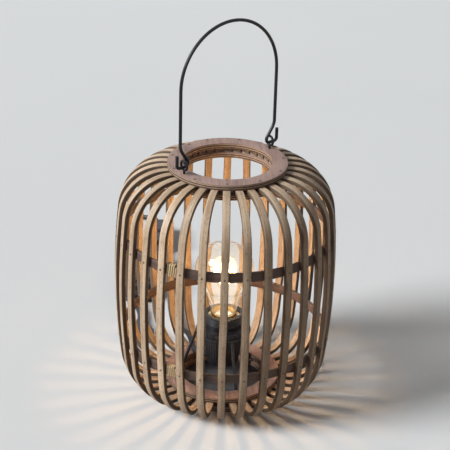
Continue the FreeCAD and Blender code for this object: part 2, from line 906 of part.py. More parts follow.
def switchRocker():
    """A rocker pressed to one side; its ends are round about the pivot, so they clear the slot."""
    halfWide = slotHalfWide - rockerPlay
    barrel = Part.makeCylinder(slotHalfLong - rockerPlay, 2 * halfWide, Vector(0, -halfWide, rockerZ),
                               Vector(0, 1, 0))
    fall = slotHalfLong * math.tan(math.radians(rockerTilt))
    outline = [(-slotHalfLong, rockerFootZ), (slotHalfLong, rockerFootZ), (slotHalfLong, rockerTopZ - fall),
               (0, rockerTopZ), (-slotHalfLong, rockerTopZ - fall)]
    points = [Vector(x, -halfWide, z) for x, z in outline]
    prism = Part.Face(Part.makePolygon(points + points[:1])).extrude(Vector(0, 2 * halfWide, 0))
    pin = Part.makeCylinder(rockerPin, 2 * (slotHalfWide + rockerPinLong),
                            Vector(0, -slotHalfWide - rockerPinLong, rockerZ), Vector(0, 1, 0))
    rocker = barrel.common(prism).fuse(pin).removeSplitter()
    rocker.rotate(Vector(0, 0, rockerZ), Vector(0, 1, 0), rockerTilt)
    return rocker


# Plug, made with its pins along +X from a face at the origin

def plugPlaced(shape):
    return moved(shape, plugPlace.x, plugPlace.y, plugHigh / 2, plugAzimuth)


def plugBody():
    half = plugWide / 2
    neck = plugNeck / 2
    outline = [(0, -half), (0, half), (-plugStraight, half), (-plugLong, neck), (-plugLong, -neck),
               (-plugStraight, -half)]
    points = [Vector(x, y, -plugHigh / 2) for x, y in outline]
    body = Part.Face(Part.makePolygon(points + points[:1])).extrude(Vector(0, 0, plugHigh))
    body = body.makeFillet(plugEdge, [e for e in body.Edges if e.BoundBox.XMax < -0.1 or e.Length > plugStraight])
    tail = cone(plugTailRoot, reliefTip, Vector(-plugLong + plugTailSunk, 0, 0), Vector(-plugLong - plugTail, 0, 0))
    return body.fuse(tail).removeSplitter().cut(plugPins())


def plugPins():
    pins = []
    for side in (-1, 1):
        start = Vector(-pinDeep, side * pinSpacing / 2, 0)
        neck = Vector(pinLong - pinRadius, side * pinSpacing / 2, 0)
        pin = rod(pinRadius, start, neck).fuse(Part.makeSphere(pinRadius, neck))
        pins.append(pin.removeSplitter())
    return pins


# Hank of spare cord: loops drawn in at the waist, which spiral in and out by turns,
# one layer above the other. It is made round the origin with its long way along Y.

hankFirstZ = tieThick + tiePlay + cordWide / 2
waistTurn = math.asin(hankHalf / (hankFold + hankWaist))
waistX = (hankFold + hankWaist) * math.cos(waistTurn)
nearFoldArcCount = 4
rightWaistArcCount = 8


def hankArcs():
    """One loop from the far fold's widest point on the left: (centre, radius, growth, start angle, turn).
    The growth is 1 where the arc's radius grows with the spiral and -1 where it shrinks."""
    half = math.pi
    quarter = math.pi / 2
    far = Vector(0, hankHalf, 0)
    near = Vector(0, -hankHalf, 0)
    left = Vector(-waistX, 0, 0)
    right = Vector(waistX, 0, 0)
    return [
        (far, hankFold, 1, half, waistTurn),
        (left, hankWaist, -1, waistTurn, -waistTurn),
        (left, hankWaist, -1, 0.0, -waistTurn),
        (near, hankFold, 1, half - waistTurn, waistTurn),
        (near, hankFold, 1, half, quarter),
        (near, hankFold, 1, half + quarter, quarter),
        (near, hankFold, 1, 0.0, waistTurn),
        (right, hankWaist, -1, half + waistTurn, -waistTurn),
        (right, hankWaist, -1, half, -waistTurn),
        (far, hankFold, 1, -waistTurn, waistTurn),
        (far, hankFold, 1, 0.0, quarter),
        (far, hankFold, 1, quarter, quarter),
    ]


def hankLoopLong(arcs):
    return sum(radius * abs(turn) for _, radius, _, _, turn in arcs)


def hankTravelled(arcs):
    """Loops travelled at the end of each arc, up to the near fold of the last loop."""
    travelled = [0.0]
    for step in range(hankLoops * len(arcs) + nearFoldArcCount):
        _, radius, _, _, turn = arcs[step % len(arcs)]
        travelled.append(travelled[-1] + radius * abs(turn) / hankLoopLong(arcs))
    return travelled


def hankTurnSteps(arcs):
    """The spiral turns back at the middle of the right waist."""
    return [(k + 1) * len(arcs) + rightWaistArcCount for k in range(hankTurnCount)]


def hankNodes():
    """Points and headings of the hank's centreline at the ends of its arcs."""
    arcs = hankArcs()
    loopLong = hankLoopLong(arcs)
    travelled = hankTravelled(arcs)
    turnSteps = hankTurnSteps(arcs)
    inward = [travelled[step] for step in turnSteps[0::2]]
    climbSlope = hankClimbSteepness * hankPitch / (2 * hankWaist * waistTurn)

    nodes = []
    for step in range(len(travelled)):
        centre, radius, growth, startAngle, turn = arcs[step % len(arcs)]
        at = travelled[step]
        spread = hankStep * min(abs(at - inner) for inner in inward)
        angle = startAngle
        outward = Vector(math.cos(angle), math.sin(angle), 0)
        point = centre + outward * (radius + growth * spread)
        along = Vector(-math.sin(angle), math.cos(angle), 0) * math.copysign(1.0, turn)
        passed = sum(1 for turnStep in turnSteps if step > turnStep)
        growing = (-1.0) ** (sum(1 for turnStep in turnSteps if step >= turnStep) + 1)
        drift = outward * (growth * growing * hankStep / loopLong)
        climb = 0.0
        level = passed
        if step in turnSteps:
            drift = Vector(0, 0, 0)
            climb = climbSlope
            level = passed + 0.5
        point.z = hankFirstZ + hankPitch * level
        nodes.append((point, unit(along + drift + Vector(0, 0, climb))))
    return nodes


def hankEnds():
    """Where the hank's straight ends stop, in the lamp's frame."""
    nodes = hankNodes()
    start = nodes[0][0] - Vector(0, -1, 0) * cordWide
    end = nodes[-1][0] + Vector(0, -1, 0) * cordWide
    place = Placement(hankPlace, Rotation(Vector(0, 0, 1), hankAzimuth))
    return place.multVec(start), place.multVec(end)


def hankTube():
    nodes = hankNodes()
    away = Vector(0, -1, 0)
    nodes[0] = (nodes[0][0], away)
    nodes[-1] = (nodes[-1][0], away)
    first = nodes[0][0]
    last = nodes[-1][0]
    edges = [Part.LineSegment(first - away * cordWide, first).toShape()]
    for (a, headingA), (b, headingB) in zip(nodes, nodes[1:]):
        edges += biarc(a, headingA, b, headingB)
    edges.append(Part.LineSegment(last, last + away * cordWide).toShape())
    length = sum(edge.Length for edge in edges)
    tube = tubeAlong(edges, cordWide / 2, away)
    share = tube.Volume / (math.pi * cordWide ** 2 / 4 * length)
    print("hank length", round(length, 1), "volume share", round(share, 4),
          "least gap", round(leastGap(edges, cordWide, 3 * cordWide), 2))
    return moved(tube, hankPlace.x, hankPlace.y, 0, hankAzimuth), length


def hankTie():
    """A band round the hank's waist."""
    arcs = hankArcs()
    widest = hankStep * hankTravelled(arcs)[hankTurnSteps(arcs)[0]]
    halfInside = waistX - (hankWaist - widest) + cordWide / 2 + tiePlay
    low = hankFirstZ - cordWide / 2 - tiePlay
    high = hankFirstZ + hankPitch * hankTurnCount + cordWide / 2 + tiePlay
    inside = Part.makeBox(2 * halfInside, tieWide, high - low, Vector(-halfInside, -tieWide / 2, low))
    outside = Part.makeBox(2 * (halfInside + tieThick), tieWide, high - low + 2 * tieThick,
                           Vector(-halfInside - tieThick, -tieWide / 2, low - tieThick))
    return moved(outside.cut(inside), hankPlace.x, hankPlace.y, 0, hankAzimuth)


# Assembly

def cage():
    nailsBySlat = ringNails()
    allHoopNails = {}
    for k in range(slatCount):
        allHoopNails[k] = [hoopNail(slatAzimuth(k), z) for z in (upperHoopZ, lowerHoopZ)]
    strip = slatSolid()
    slats = []
    for k in range(slatCount):
        slat = moved(strip, 0, 0, 0, slatAzimuth(k))
        slats.append(slat.cut(allHoopNails[k] + nailsBySlat.get(k, [])))
    for first in range(0, slatCount, slatsPerNode):
        export("slat_pair_%02d" % (first // slatsPerNode + 1), slats[first:first + slatsPerNode])

    eyes = [screwEye(side) for side in (1, -1)]
    stackNails = [nail for pair in nailsBySlat.values() for nail in pair]
    plate = standPlate()
    screws = plateScrews()
    stackHigh = 2 * plyThick + slatThick
    rebate = Part.makeCylinder(plateRadius + plateFit, plateThick)
    rings = {
        "top_ring_upper": (topSlatTop, cageHigh),
        "top_ring_lower": (stackFootZ, stackFootZ + plyThick),
        "bottom_ring_upper": (stackHigh - plyThick, stackHigh),
        "bottom_ring_lower": (0.0, plyThick),
    }
    for name, (low, high) in rings.items():
        ring = ringSolid(ringOuter, ringBore, low, high).cut(eyes + stackNails)
        if name == "bottom_ring_lower":
            ring = ring.cut([rebate] + screws)
        export(name, [ring])
    export("ring_nails", stackNails)
    export("screw_eyes", eyes)
    hoopNails = [nail for pair in allHoopNails.values() for nail in pair]
    for name, z in (("upper", upperHoopZ), ("lower", lowerHoopZ)):
        export(name + "_hoop", [hoopSolid(z).cut(hoopNails)])
        export(name + "_hoop_lashing", [lashing(z, lashAzimuth)])
    export("hoop_nails", hoopNails)
    export("base_plate", [plate])
    export("base_plate_screws", screws)


def stand():
    for k in range(legCount):
        export("stand_leg_%d" % (k + 1), [standLeg(legAzimuth + k * 360.0 / legCount)])
    export("stand_collar", [standCollar()])


def lampholder():
    relief = cordRelief()
    export("holder_body", [holderBody(relief)])
    export("holder_sleeve", [holderSleeve()])
    export("holder_insert", [holderInsert()])
    export("contact_sleeve", [contactSleeve()])
    export("centre_contact", [centreContact()])
    export("shade_ring", [shadeRing()])
    export("cord_relief", [relief])


def bulb():
    export("bulb_glass", [bulbGlass()])
    export("bulb_cap", [bulbCap()])
    export("bulb_insulator", [bulbInsulator()])
    export("bulb_tip", [bulbTip()])
    export("bulb_stem", [bulbStem()])
    export("bulb_leads", bulbLeads())
    export("bulb_filament", [bulbFilament()])


def cordSet():
    lower, upper = switchShells()
    export("switch_lower_shell", [switchPlaced(lower.cut(switchPockets()))])
    export("switch_upper_shell", [switchPlaced(upper)])
    export("switch_rocker", [switchPlaced(switchRocker())])
    export("switch_screws", [switchPlaced(screw) for screw in switchScrews()])
    export("plug_body", [plugPlaced(plugBody())])
    export("plug_pins", [plugPlaced(pin) for pin in plugPins()])

    noseReach = switchLong / 2 + switchNose
    nose = Placement(Vector(switchPlace.x, switchPlace.y, switchHigh / 2), Rotation(Vector(0, 0, 1), switchAzimuth))
    nearNose = nose.multVec(Vector(-noseReach, 0, 0))
    farNose = nose.multVec(Vector(noseReach, 0, 0))
    plug = Placement(Vector(plugPlace.x, plugPlace.y, plugHigh / 2), Rotation(Vector(0, 0, 1), plugAzimuth))
    plugEnd = plug.multVec(Vector(-plugLong - plugTail, 0, 0))
    hankStart, hankEnd = hankEnds()
    for end in (nearNose, farNose, hankStart, hankEnd, plugEnd):
        print("end", round(end.x, 2), round(end.y, 2), round(end.z, 2))

    total = 0.0
    routes = {
        "cord_lamp_to_switch": [reliefRoute[-1]] + lampCordRoute + [nearNose],
        "cord_switch_to_hank": [farNose] + turnCordRoute + [hankStart],
        "cord_hank_to_plug": [hankEnd] + tailCordRoute + [plugEnd],
    }
    for name, route in routes.items():
        tube, length = cordTube(name, route)
        export(name, [tube])
        total += length
    hank, length = hankTube()
    export("cord_hank", [hank])
    export("hank_tie", [hankTie()])
    print("cord in all", round(total + length, 1))


cage()
export("bail", [bailSolid()])
stand()
lampholder()
bulb()
cordSet()
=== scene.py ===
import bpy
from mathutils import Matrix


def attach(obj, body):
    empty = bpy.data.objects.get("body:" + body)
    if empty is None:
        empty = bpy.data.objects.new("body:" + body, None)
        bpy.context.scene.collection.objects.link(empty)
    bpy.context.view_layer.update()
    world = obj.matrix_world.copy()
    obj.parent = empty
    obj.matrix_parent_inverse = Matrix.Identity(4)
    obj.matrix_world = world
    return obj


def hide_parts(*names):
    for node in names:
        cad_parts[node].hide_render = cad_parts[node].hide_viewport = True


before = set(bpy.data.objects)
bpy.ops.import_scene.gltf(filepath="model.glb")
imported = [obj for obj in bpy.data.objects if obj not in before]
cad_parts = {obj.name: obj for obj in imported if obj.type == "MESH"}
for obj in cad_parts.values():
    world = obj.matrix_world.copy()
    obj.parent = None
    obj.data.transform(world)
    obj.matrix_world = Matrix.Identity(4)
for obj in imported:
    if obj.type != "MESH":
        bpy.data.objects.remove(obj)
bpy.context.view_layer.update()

import math
import bmesh
import bpy
import numpy as np
from mathutils import Matrix, Vector

rng = np.random.default_rng(32)
mm = 0.001
sharpFrom = math.radians(50)     # edges turned by more than this stay crisp


# Mesh helpers

def gridMesh(name, grids, uvs, tones=None, closedRows=False):
    # each grid is (rows, columns, 3): rows follow the path, columns go round the section.
    # uvs give millimetres across and along the grain, tones a number for each point, and
    # closedRows joins the last row to the first
    points, faces, corners, pointTones = [], [], [], []
    first = 0
    for index, (grid, (across, along)) in enumerate(zip(grids, uvs)):
        rows, cols = grid.shape[:2]
        i = np.arange(rows if closedRows else rows - 1)[:, None]
        j = np.arange(cols)[None, :]
        iNext = (i + 1) % rows
        jNext = (j + 1) % cols
        quads = np.stack([i * cols + j, i * cols + jNext, iNext * cols + jNext, iNext * cols + j],
                         axis=-1)
        faces.append(quads.reshape(-1, 4) + first)
        j, i = np.broadcast_arrays(j, i)
        u = np.stack([across[j], across[j + 1], across[j + 1], across[j]], axis=-1)
        v = np.stack([along[i], along[i], along[i + 1], along[i + 1]], axis=-1)
        corners.append(np.stack([u, v], axis=-1).reshape(-1, 2))
        points.append(grid.reshape(-1, 3))
        if tones is not None:
            pointTones.append(np.broadcast_to(tones[index], (rows, cols)).reshape(-1))
        first += rows * cols
    corners = np.concatenate(corners)
    faceList = np.concatenate(faces).tolist()
    if not closedRows:
        # a flat cap at each end
        start = 0
        for grid in grids:
            rows, cols = grid.shape[:2]
            faceList.append(list(range(start + cols - 1, start - 1, -1)))
            faceList.append(list(range(start + (rows - 1) * cols, start + rows * cols)))
            corners = np.concatenate([corners, np.zeros((2 * cols, 2))])
            start += rows * cols
    mesh = bpy.data.meshes.new(name)
    mesh.from_pydata(np.concatenate(points).tolist(), [], faceList)
    uvLayer = mesh.uv_layers.new(name="grainUV")
    uvLayer.data.foreach_set("uv", corners.astype(np.float32).ravel())
    if tones is not None:
        layer = mesh.attributes.new("tone", "FLOAT", "POINT")
        layer.data.foreach_set("value", np.concatenate(pointTones).astype(np.float32))
    shell = bmesh.new()
    shell.from_mesh(mesh)
    bmesh.ops.recalc_face_normals(shell, faces=shell.faces)
    shell.to_mesh(mesh)
    shell.free()
    mesh.polygons.foreach_set("use_smooth", np.ones(len(mesh.polygons), bool))
    mesh.set_sharp_from_angle(angle=sharpFrom)
    piece = bpy.data.objects.new(name, mesh)
    bpy.context.scene.collection.objects.link(piece)
    return piece


def roundedBox(low, high, radius, steps=3):
    # outline of a rectangle with rounded corners, counterclockwise
    quarter = np.linspace(0, math.pi / 2, steps + 1)
    centres = [(high[0] - radius, high[1] - radius, 0), (low[0] + radius, high[1] - radius, 1),
               (low[0] + radius, low[1] + radius, 2), (high[0] - radius, low[1] + radius, 3)]
    corners = [np.stack([x + radius * np.cos(quarter + k * math.pi / 2),
                         y + radius * np.sin(quarter + k * math.pi / 2)], axis=1)
               for x, y, k in centres]
    return np.concatenate(corners)


def pathLength(path):
    # distance gone at each point: the running sum of the straight steps between points
    return np.concatenate([[0.0], np.cumsum(np.linalg.norm(np.diff(path, axis=0), axis=1))])


def outlineLength(outline):
    # the same round a closed outline, back to its first point
    return pathLength(np.concatenate([outline, outline[:1]]))


def sweep(path, section, reference):
    # carries a section of (side, outward) points along a path: side is tangent x reference
    tangent = np.gradient(path, axis=0)
    tangent /= np.linalg.norm(tangent, axis=1)[:, None]
    side = np.cross(tangent, reference)
    side /= np.linalg.norm(side, axis=1)[:, None]
    outward = np.cross(side, tangent)
    return (path[:, None, :] + side[:, None, :] * section[..., 0:1]
            + outward[:, None, :] * section[..., 1:2])


def finishPiece(piece, material, slotName, *nodes):
    piece.data.materials.append(material)
    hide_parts(*nodes)
    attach(piece, "lamp")


# Node helpers

def newMaterial(name):
    material = bpy.data.materials.new(name)
    material.use_nodes = True
    return material, material.node_tree, material.node_tree.nodes["Principled BSDF"]


def add(tree, kind, values=None, **settings):
    node = tree.nodes.new(kind)
    for key, value in settings.items():
        setattr(node, key, value)
    for key, value in (values or {}).items():
        node.inputs[key].default_value = value
    return node


def calc(tree, operation, a, b=None, clamp=False):
    node = add(tree, "ShaderNodeMath", operation=operation, use_clamp=clamp)
    for socket, value in zip(node.inputs, (a, b)):
        if isinstance(value, (int, float)):
            socket.default_value = value
        elif value is not None:
            tree.links.new(value, socket)
    return node.outputs[0]


def mixColour(tree, factor, a, b):
    node = add(tree, "ShaderNodeMix", data_type="RGBA")
    for socket, value in ((node.inputs[0], factor), (node.inputs[6], a), (node.inputs[7], b)):
        if isinstance(value, (int, float, tuple)):
            socket.default_value = value
        else:
            tree.links.new(value, socket)
    return node.outputs[2]


def stretched(tree, vector, scale):
    node = add(tree, "ShaderNodeVectorMath", operation="MULTIPLY")
    tree.links.new(vector, node.inputs[0])
    node.inputs[1].default_value = scale
    return node.outputs[0]


def noise(tree, vector, scale, detail=2.0, rough=0.5):
    node = add(tree, "ShaderNodeTexNoise", {"Scale": scale, "Detail": detail, "Roughness": rough})
    tree.links.new(vector, node.inputs["Vector"])
    return node.outputs["Fac"]


def newGroup(name, inputs, outputs):
    group = bpy.data.node_groups.new(name, "ShaderNodeTree")
    for label, kind, value in inputs:
        socket = group.interface.new_socket(label, in_out="INPUT", socket_type=kind)
        if value is not None:
            socket.default_value = value
    for label, kind in outputs:
        group.interface.new_socket(label, in_out="OUTPUT", socket_type=kind)
    return group, group.nodes.new("NodeGroupInput"), group.nodes.new("NodeGroupOutput")


def remap(tree, value, low, high, outLow=0.0, outHigh=1.0):
    node = add(tree, "ShaderNodeMapRange",
               {"From Min": low, "From Max": high, "To Min": outLow, "To Max": outHigh})
    tree.links.new(value, node.inputs["Value"])
    return node.outputs["Result"]


def seenDirectly(tree):
    # 1 where the camera, a reflection or the glass shows a surface, 0 where it only lights others
    path = add(tree, "ShaderNodeLightPath")
    mirrored = calc(tree, "MAXIMUM", path.outputs["Is Glossy Ray"],
                    path.outputs["Is Transmission Ray"])
    return calc(tree, "MAXIMUM", path.outputs["Is Camera Ray"], mirrored)


colourSocket, floatSocket, vectorSocket = "NodeSocketColor", "NodeSocketFloat", "NodeSocketVector"

# Wood: long streaks, fine fibres, short dark specks and a few knots along the grain.
# The vector is in millimetres, across the grain in x and along it in y.
woodGroup, woodIn, woodOut = newGroup("woodGrain", [
    ("Vector", vectorSocket, None), ("Pale", colourSocket, (0.6, 0.45, 0.3, 1)),
    ("Dark", colourSocket, (0.3, 0.2, 0.1, 1)), ("Streaks", floatSocket, 1.0),
    ("Specks", floatSocket, 0.6), ("Knots", floatSocket, 1.0)],
    [("Color", colourSocket), ("Height", floatSocket), ("Roughness", floatSocket)])
# stretch per millimetre, noise detail and roughness, and the part of its range that shows
woodLayers = {"streaks": ((0.35, 0.008, 0.35), 4.0, 0.6, (0.36, 0.68)),
              "fibres": ((2.6, 0.05, 2.6), 3.0, 0.65, (0.35, 0.75)),
              "specks": ((0.9, 0.22, 0.9), 3.0, 0.75, (0.59, 0.65)),
              "patches": ((0.05, 0.03, 0.05), 2.0, 0.5, (0.4, 0.7))}
wood = {"knotStretch": (0.045, 0.011, 0.045), "knotRange": (0.11, 0.03), "streakShare": 0.55,
        "fibreShare": 0.45, "patchShare": 0.35, "speckColour": (0.09, 0.05, 0.03, 1),
        "knotColour": (0.07, 0.035, 0.02, 1), "streakHeight": 0.5, "speckDepth": 0.8,
        "fibreRange": (0.2, 0.8), "rough": (0.48, 0.68)}
woodVector = woodIn.outputs["Vector"]
woodNoise, woodMask = {}, {}
for name, (stretch, detail, rough, shown) in woodLayers.items():
    layerVector = stretched(woodGroup, woodVector, stretch)
    woodNoise[name] = noise(woodGroup, layerVector, 1.0, detail, rough)
    woodMask[name] = remap(woodGroup, woodNoise[name], *shown)
knotVector = stretched(woodGroup, woodVector, wood["knotStretch"])
knotCells = add(woodGroup, "ShaderNodeTexVoronoi", {"Scale": 1.0, "Randomness": 1.0})
woodGroup.links.new(knotVector, knotCells.inputs["Vector"])
knotMask = remap(woodGroup, knotCells.outputs["Distance"], *wood["knotRange"])
knots = calc(woodGroup, "MULTIPLY", knotMask, woodIn.outputs["Knots"], clamp=True)
specks = calc(woodGroup, "MULTIPLY", woodMask["specks"], woodIn.outputs["Specks"], clamp=True)
streakMix = calc(woodGroup, "MULTIPLY", woodMask["streaks"], woodIn.outputs["Streaks"])
streakMix = calc(woodGroup, "MULTIPLY", streakMix, wood["streakShare"])
fibreMix = calc(woodGroup, "MULTIPLY", woodMask["fibres"], wood["fibreShare"])
patchMix = calc(woodGroup, "MULTIPLY", woodMask["patches"], wood["patchShare"])
darkness = calc(woodGroup, "ADD", streakMix, calc(woodGroup, "ADD", fibreMix, patchMix), clamp=True)
woodColour = mixColour(woodGroup, darkness, woodIn.outputs["Pale"], woodIn.outputs["Dark"])
woodColour = mixColour(woodGroup, specks, woodColour, wood["speckColour"])
woodColour = mixColour(woodGroup, knots, woodColour, wood["knotColour"])
# height: fibres, plus a share of the streaks, less the specks
streakHeight = calc(woodGroup, "MULTIPLY", woodNoise["streaks"], wood["streakHeight"])
woodHeight = calc(woodGroup, "ADD", woodNoise["fibres"], streakHeight)
speckDepth = calc(woodGroup, "MULTIPLY", specks, wood["speckDepth"])
woodHeight = calc(woodGroup, "SUBTRACT", woodHeight, speckDepth)
woodRough = remap(woodGroup, woodNoise["fibres"], *wood["fibreRange"], *wood["rough"])
woodGroup.links.new(woodColour, woodOut.inputs["Color"])
woodGroup.links.new(woodHeight, woodOut.inputs["Height"])
woodGroup.links.new(woodRough, woodOut.inputs["Roughness"])

# Fine unevenness of paint, plastic, rubber and drawn metal, on Object coordinates
finishGroup, finishIn, finishOut = newGroup("fineFinish", [
    ("Vector", vectorSocket, None), ("Base", colourSocket, (0.5, 0.5, 0.5, 1)),
    ("Worn", colourSocket, (0.6, 0.6, 0.6, 1)), ("Grain", floatSocket, 900.0),
    ("Wear", floatSocket, 0.3), ("Low", floatSocket, 0.3), ("High", floatSocket, 0.5)],
    [("Color", colourSocket), ("Height", floatSocket), ("Roughness", floatSocket)])
fineLook = {"detail": 3.0, "rough": 0.6, "cloudScale": 70.0, "wornRange": (0.48, 0.75),
            "cloudRange": (0.3, 0.7)}
fineNode = add(finishGroup, "ShaderNodeTexNoise",
               {"Detail": fineLook["detail"], "Roughness": fineLook["rough"]})
finishGroup.links.new(finishIn.outputs["Vector"], fineNode.inputs["Vector"])
finishGroup.links.new(finishIn.outputs["Grain"], fineNode.inputs["Scale"])
cloudy = noise(finishGroup, finishIn.outputs["Vector"], fineLook["cloudScale"],
               fineLook["detail"], fineLook["rough"])
wornMix = calc(finishGroup, "MULTIPLY", remap(finishGroup, cloudy, *fineLook["wornRange"]),
               finishIn.outputs["Wear"], clamp=True)
wornColour = mixColour(finishGroup, wornMix, finishIn.outputs["Base"], finishIn.outputs["Worn"])
finishGroup.links.new(wornColour, finishOut.inputs["Color"])
finishGroup.links.new(fineNode.outputs["Fac"], finishOut.inputs["Height"])
roughRange = add(finishGroup, "ShaderNodeMapRange",
                 dict(zip(("From Min", "From Max"), fineLook["cloudRange"])))
finishGroup.links.new(cloudy, roughRange.inputs["Value"])
finishGroup.links.new(finishIn.outputs["Low"], roughRange.inputs["To Min"])
finishGroup.links.new(finishIn.outputs["High"], roughRange.inputs["To Max"])
finishGroup.links.new(roughRange.outputs["Result"], finishOut.inputs["Roughness"])

finishDeep, grainDeep = 0.0004, 0.0005      # bump heights in metres


def place(tree, group, values):
    node = tree.nodes.new("ShaderNodeGroup")
    node.node_tree = group
    for key, value in values.items():
        node.inputs[key].default_value = value
    return node


def bumpFrom(tree, bsdf, height, strength, distance):
    bump = add(tree, "ShaderNodeBump", {"Strength": strength, "Distance": distance})
    tree.links.new(height, bump.inputs["Height"])
    tree.links.new(bump.outputs["Normal"], bsdf.inputs["Normal"])


def finished(name, base, worn, low, high, metallic=0.0, wear=0.3, grain=900.0, bump=0.05, coat=0.0):
    material, tree, bsdf = newMaterial(name)
    group = place(tree, finishGroup, {"Base": (*base, 1), "Worn": (*worn, 1), "Grain": grain,
                                      "Wear": wear, "Low": low, "High": high})
    coords = add(tree, "ShaderNodeTexCoord")
    tree.links.new(coords.outputs["Object"], group.inputs["Vector"])
    tree.links.new(group.outputs["Color"], bsdf.inputs["Base Color"])
    tree.links.new(group.outputs["Roughness"], bsdf.inputs["Roughness"])
    bsdf.inputs["Metallic"].default_value = metallic
    bsdf.inputs["Coat Weight"].default_value = coat
    bumpFrom(tree, bsdf, group.outputs["Height"], bump, finishDeep)
    return material


def woodMaterial(name, look, vector):
    # vector makes the grain's coordinates in millimetres in the material's own tree
    material, tree, bsdf = newMaterial(name)
    group = place(tree, woodGroup, {label.capitalize(): look[label]
                                    for label in ("pale", "dark", "streaks", "specks", "knots")})
    tree.links.new(vector(tree), group.inputs["Vector"])
    tree.links.new(group.outputs["Roughness"], bsdf.inputs["Roughness"])
    bumpFrom(tree, bsdf, group.outputs["Height"], look["bump"], grainDeep)
    tree.links.new(group.outputs["Color"], bsdf.inputs["Base Color"])
    return material, tree, bsdf, group


def uvVector(tree):
    return add(tree, "ShaderNodeUVMap", uv_map="grainUV").outputs["UV"]


def objectVector(tree, turn=0.0):
    coords = add(tree, "ShaderNodeTexCoord")
    mapping = add(tree, "ShaderNodeMapping", {"Scale": (1 / mm,) * 3, "Rotation": (0, 0, turn)})
    tree.links.new(coords.outputs["Object"], mapping.inputs["Vector"])
    return mapping.outputs["Vector"]


# Slats

# side is the near-black colour of the painted shade on the slats' sides
slatLook = {"pale": (0.78, 0.585, 0.405, 1), "dark": (0.31, 0.19, 0.105, 1), "streaks": 0.9,
            "specks": 0.85, "knots": 0.9, "bump": 0.22, "side": (0.040, 0.022, 0.013, 1)}
slatMaterial, tree, bsdf, group = woodMaterial("slatWood", slatLook, uvVector)
# painted shade: the tone attribute darkens the slats' sides towards the side colour, and shifts
# each face's tone at random
tone = add(tree, "ShaderNodeAttribute", attribute_name="tone")
shadedAndToned = mixColour(tree, tone.outputs["Fac"], group.outputs["Color"], slatLook["side"])
tree.links.new(shadedAndToned, bsdf.inputs["Base Color"])

# millimetres and degrees, as (radius, turn) where a bend has both
# the side numbers set where the painted shade on the slats' sides begins and how dark it gets
cage = {"high": 250.0, "ply": 5.5, "ringOuter": 58.5, "ringBore": 43.5, "slats": 32, "perNode": 2,
        "wide": 7.7, "thick": 4.5, "setback": 2.0, "runOut": 2.0, "shoulder": (46.0, 84.0),
        "sideTurn": 12.8, "lower": (56.0, 34.0), "heel": 29.0, "rows": (22, 34, 16, 14),
        "edge": 0.7, "wander": 0.3, "narrow": 0.03, "waves": (9, 23, 13, 31), "lesser": 0.5,
        "grainApart": 61.0, "grainRun": 900, "sideShade": 0.84, "faceDark": 0.26, "sideFrom": 0.5,
        "sideBand": 0.4}


def slatLine():
    # outer face of a slat as (radius, z, heading below level) along its length: tangent arcs
    # between two straight ends. An arc falls by its radius times the change of the heading's
    # cosine, and the long side gets the radius that makes up the height left over
    shoulderRadius, shoulderTurn = cage["shoulder"]
    lowerRadius, lowerTurn = cage["lower"]
    heelTurn = 180 - shoulderTurn - cage["sideTurn"] - lowerTurn
    stops = np.radians(np.cumsum([0, shoulderTurn, cage["sideTurn"], lowerTurn, heelTurn]))
    falls = np.cos(stops[:-1]) - np.cos(stops[1:])
    rest = cage["high"] - 2 * cage["ply"] - shoulderRadius * falls[0] - lowerRadius * falls[2]
    rest -= cage["heel"] * falls[3]
    radii = [shoulderRadius, rest / falls[1], lowerRadius, cage["heel"]]
    x = cage["ringOuter"] + cage["runOut"]
    z = cage["high"] - cage["ply"]
    start = cage["ringBore"] + cage["setback"]
    lines = [np.array([[start, z, 0.0], [(start + x) / 2, z, 0.0]])]
    for radius, low, high, count in zip(radii, stops[:-1], stops[1:], cage["rows"]):
        turned = np.linspace(low, high, count, endpoint=False)
        centre = (x - radius * math.sin(low), z - radius * math.cos(low))
        lines.append(np.stack([centre[0] + radius * np.sin(turned),
                               centre[1] + radius * np.cos(turned), turned], axis=1))
        x = centre[0] + radius * math.sin(high)
        z = centre[1] + radius * math.cos(high)
    lines.append(np.array([[x, z, math.pi], [(x + start) / 2, z, math.pi], [start, z, math.pi]]))
    return np.concatenate(lines)


slatFace = slatLine()
slatAlong = pathLength(slatFace[:, :2])


def slatGrid(index):
    # a rounded strip carried along the face line. Its wander sideways and its width are each the
    # sum of two sines of the share of the length, every sine with its own phase
    heading = slatFace[:, 2]
    inward = np.stack([-np.sin(heading), -np.cos(heading)], axis=1)
    middle = slatFace[:, :2] + inward * cage["thick"] / 2
    phase = rng.uniform(0, 2 * math.pi, 4)
    share = slatAlong / slatAlong[-1]
    sines = [np.sin(turns * share + start) for turns, start in zip(cage["waves"], phase)]
    free = np.sin(math.pi * share) ** 0.5        # none at the held ends
    wander = cage["wander"] * free * (sines[0] + cage["lesser"] * sines[1])
    width = 1 - cage["narrow"] * (1 + cage["lesser"] * sines[2] + cage["lesser"] * sines[3])
    half = (cage["wide"] / 2, cage["thick"] / 2)
    outline = roundedBox((-half[0], -half[1]), half, cage["edge"])
    across = outline[None, :, 0] * width[:, None] + wander[:, None]
    deep = outline[None, :, 1]
    radius = middle[:, None, 0] - inward[:, None, 0] * deep
    z = middle[:, None, 1] - inward[:, None, 1] * deep
    angle = math.radians((index + 0.5) * 360 / cage["slats"])
    grid = np.stack([radius * math.cos(angle) - across * math.sin(angle),
                     radius * math.sin(angle) + across * math.cos(angle), z], axis=-1) * mm
    around = outlineLength(outline) + index * cage["grainApart"]
    along = slatAlong + rng.uniform(0, cage["grainRun"])
    # the sides get painted shade, darker than the faces, and each face differs a little at random
    side = np.clip((np.abs(outline[:, 0]) - half[0] + cage["sideFrom"]) / cage["sideBand"], 0, 1)
    face = cage["faceDark"] * rng.random()
    tones = side * cage["sideShade"] + (1 - side) * face
    return grid, (around, along), np.broadcast_to(tones[None, :], across.shape)


